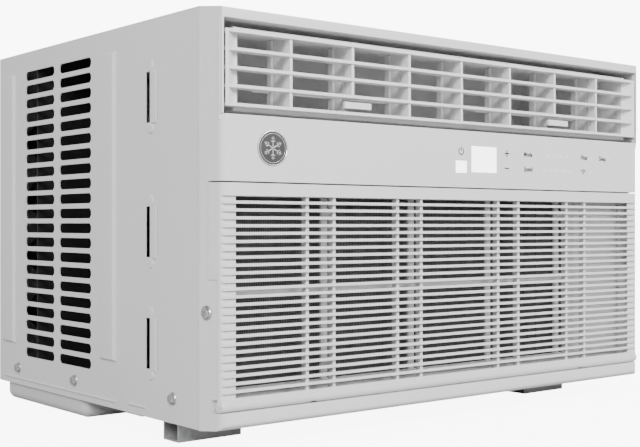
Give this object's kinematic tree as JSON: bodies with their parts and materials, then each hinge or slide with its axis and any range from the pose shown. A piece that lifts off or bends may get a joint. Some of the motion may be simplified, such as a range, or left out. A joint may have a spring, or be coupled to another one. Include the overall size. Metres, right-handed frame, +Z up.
{
  "type": "window air conditioner",
  "caption": "Window air conditioner with a drop-down slotted intake grille, a tilting louvre with turning vanes, a vented steel cabinet and its fan and cooling circuit inside.",
  "frame": {"origin": "middle of the footprint, on the ground under the feet and sump", "axes": "+X to the viewer's right, +Y outdoors, +Z up"},
  "size_m": [0.4784, 0.3788, 0.3142],
  "materials": {
    "bezel_plastic": "fine texture",
    "louvre_plastic": "satin",
    "painted_steel": "fine texture powder coat",
    "galvanised_steel": "galvanised",
    "window_plastic": "gloss",
    "badge_metal": "polished",
    "circuit_board": "solder mask",
    "cover_steel": "satin",
    "coil_aluminium": "bare",
    "copper": "bare copper",
    "black_steel": "satin black",
    "rubber": "matt",
    "zinc_steel": "zinc plated",
    "black_plastic": "matt",
    "foam_plastic": "moulded foam",
    "filter_plastic": "satin",
    "filter_mesh": "woven mesh"
  },
  "bodies": {
    "chassis": {"accumulator": "black_steel", "air_duct": "foam_plastic", "badge": "badge_metal", "base_pan": "galvanised_steel", "bezel_screws": "zinc_steel", "bulkhead": "galvanised_steel", "cabinet_screws": "zinc_steel", "cabinet_shell": "painted_steel", "compressor": "black_steel", "compressor_grommets": "rubber", "compressor_studs": "zinc_steel", "condenser_fins": "coil_aluminium", "condenser_tubes": "copper", "cord_gland": "rubber", "discharge_line": "copper", "display_window": "window_plastic", "drain_plug": "rubber", "electrical_box": "galvanised_steel", "electrical_cover": "cover_steel", "evaporator_fins": "coil_aluminium", "evaporator_tubes": "copper", "fan_motor": "galvanised_steel", "fan_shroud": "foam_plastic", "filter_drier": "copper", "foot_left": "galvanised_steel", "foot_right": "galvanised_steel", "foot_screws": "zinc_steel", "front_panel": "bezel_plastic", "liquid_line": "copper", "motor_bracket": "galvanised_steel", "power_board": "circuit_board", "rear_grille": "painted_steel", "receiver_window": "window_plastic", "run_capacitor": "zinc_steel", "scroll_housing": "foam_plastic", "suction_line": "copper", "terminal_cover": "black_plastic", "touch_board": "circuit_board"},
    "louvre": {"louvre_barrel": "louvre_plastic", "vane_4": "louvre_plastic"},
    "rotor": {"motor_shaft": "galvanised_steel", "blower_wheel": "black_plastic", "condenser_fan": "black_plastic"},
    "grille": {"inlet_grille": "bezel_plastic", "filter_frame": "filter_plastic", "filter_mesh": "filter_mesh"},
    "vane_1": {"vane_1": "louvre_plastic"},
    "vane_2": {"vane_2": "louvre_plastic"},
    "vane_3": {"vane_3": "louvre_plastic"},
    "vane_5": {"vane_5": "louvre_plastic"},
    "vane_6": {"vane_6": "louvre_plastic"},
    "vane_7": {"vane_7": "louvre_plastic"},
    "link_left": {"link_left": "louvre_plastic"},
    "link_right": {"link_right": "louvre_plastic"}
  },
  "joints": [
    {"name": "fan_spin", "type": "hinge", "parent": "chassis", "child": "rotor", "pos_m": [-0.0448, 0.0756, 0.14095], "axis": [0, 1, 0], "continuous": true},
    {"name": "grille_drop", "type": "hinge", "parent": "chassis", "child": "grille", "pos_m": [0, -0.1845, 0.0335], "axis": [1, 0, 0], "range_deg": [0, 75]},
    {"name": "louvre_tilt", "type": "hinge", "parent": "chassis", "child": "louvre", "pos_m": [0, -0.167, 0.271], "axis": [1, 0, 0], "range_deg": [-12, 12]},
    {"name": "vane_2_turn", "type": "hinge", "parent": "louvre", "child": "vane_2", "pos_m": [-0.114, -0.164, 0.258], "axis": [0, 0, 1], "range_deg": [-25, 25]},
    {"name": "vane_1_turn", "type": "hinge", "parent": "louvre", "child": "vane_1", "pos_m": [-0.171, -0.164, 0.258], "axis": [0, 0, 1], "range_deg": [-25, 25]},
    {"name": "vane_3_turn", "type": "hinge", "parent": "louvre", "child": "vane_3", "pos_m": [-0.057, -0.164, 0.258], "axis": [0, 0, 1], "range_deg": [-25, 25]},
    {"name": "link_left_swing", "type": "hinge", "parent": "vane_2", "child": "link_left", "pos_m": [-0.114, -0.1595, 0.258], "axis": [0, 0, 1], "range_deg": [-25, 25]},
    {"name": "vane_6_turn", "type": "hinge", "parent": "louvre", "child": "vane_6", "pos_m": [0.114, -0.164, 0.258], "axis": [0, 0, 1], "range_deg": [-25, 25]},
    {"name": "vane_5_turn", "type": "hinge", "parent": "louvre", "child": "vane_5", "pos_m": [0.057, -0.164, 0.258], "axis": [0, 0, 1], "range_deg": [-25, 25]},
    {"name": "vane_7_turn", "type": "hinge", "parent": "louvre", "child": "vane_7", "pos_m": [0.171, -0.164, 0.258], "axis": [0, 0, 1], "range_deg": [-25, 25]},
    {"name": "link_right_swing", "type": "hinge", "parent": "vane_6", "child": "link_right", "pos_m": [0.114, -0.1595, 0.258], "axis": [0, 0, 1], "range_deg": [-25, 25]}
  ],
  "couplings": [
    {"joint": "vane_1_turn", "follows": "vane_2_turn", "ratio": 1},
    {"joint": "vane_3_turn", "follows": "vane_2_turn", "ratio": 1},
    {"joint": "link_left_swing", "follows": "vane_2_turn", "ratio": -1},
    {"joint": "vane_5_turn", "follows": "vane_6_turn", "ratio": 1},
    {"joint": "vane_7_turn", "follows": "vane_6_turn", "ratio": 1},
    {"joint": "link_right_swing", "follows": "vane_6_turn", "ratio": -1}
  ]
}
